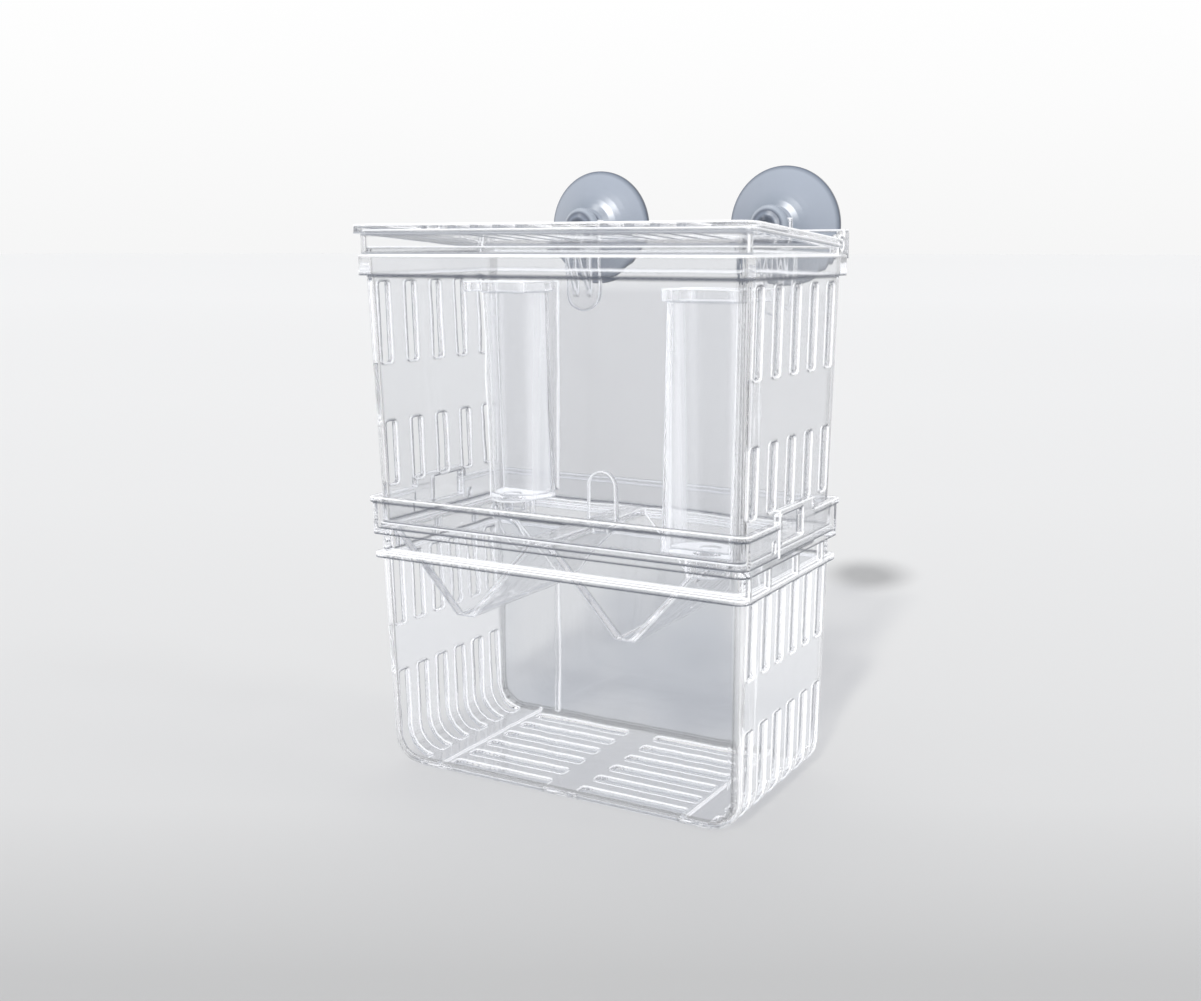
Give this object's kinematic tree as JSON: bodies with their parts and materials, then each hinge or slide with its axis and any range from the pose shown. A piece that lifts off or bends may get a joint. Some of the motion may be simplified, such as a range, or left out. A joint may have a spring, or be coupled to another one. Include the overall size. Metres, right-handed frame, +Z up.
{
  "type": "fish breeding box",
  "caption": "Clear two-storey fish breeding box: slotted lower box, V-trough fry trap, slotted upper box, feed tubes, hinged sloping lid and suction cups on hook hangers.",
  "frame": {"origin": "middle of the lower box's underside", "axes": "+Z up, +Y to the back, where the suction cups are, +X to the right as seen from the front"},
  "size_m": [0.1324, 0.0934, 0.1869],
  "materials": {
    "clear_styrene": "clear, polished",
    "soft_pvc": "smooth, slightly glossy"
  },
  "bodies": {
    "lower_box": {"lower_box": "clear_styrene"},
    "fry_trap": {"fry_trap": "clear_styrene"},
    "upper_box": {"upper_box": "clear_styrene", "feed_tube_front": "clear_styrene", "feed_tube_rear": "clear_styrene", "cup_hanger_left": "clear_styrene", "cup_hanger_right": "clear_styrene"},
    "lid": {"lid": "clear_styrene"},
    "suction_cup_left": {"suction_cup_left": "soft_pvc"},
    "suction_cup_right": {"suction_cup_right": "soft_pvc"}
  },
  "joints": [
    {"name": "trap_lift", "type": "slide", "parent": "lower_box", "child": "fry_trap", "axis": [0, 0, 1], "range_m": [0, 0.04]},
    {"name": "upper_box_lift", "type": "slide", "parent": "fry_trap", "child": "upper_box", "axis": [0, 0, 1], "range_m": [0, 0.04]},
    {"name": "lid_hinge", "type": "hinge", "parent": "upper_box", "child": "lid", "pos_m": [0, 0.0295, 0.162], "axis": [-1, 0, 0], "range_deg": [0, 84]},
    {"name": "cup_turn_left", "type": "hinge", "parent": "upper_box", "child": "suction_cup_left", "pos_m": [-0.0345, 0.047, 0.168], "axis": [0, 1, 0], "continuous": true},
    {"name": "cup_turn_right", "type": "hinge", "parent": "upper_box", "child": "suction_cup_right", "pos_m": [0.0345, 0.047, 0.168], "axis": [0, 1, 0], "continuous": true}
  ]
}
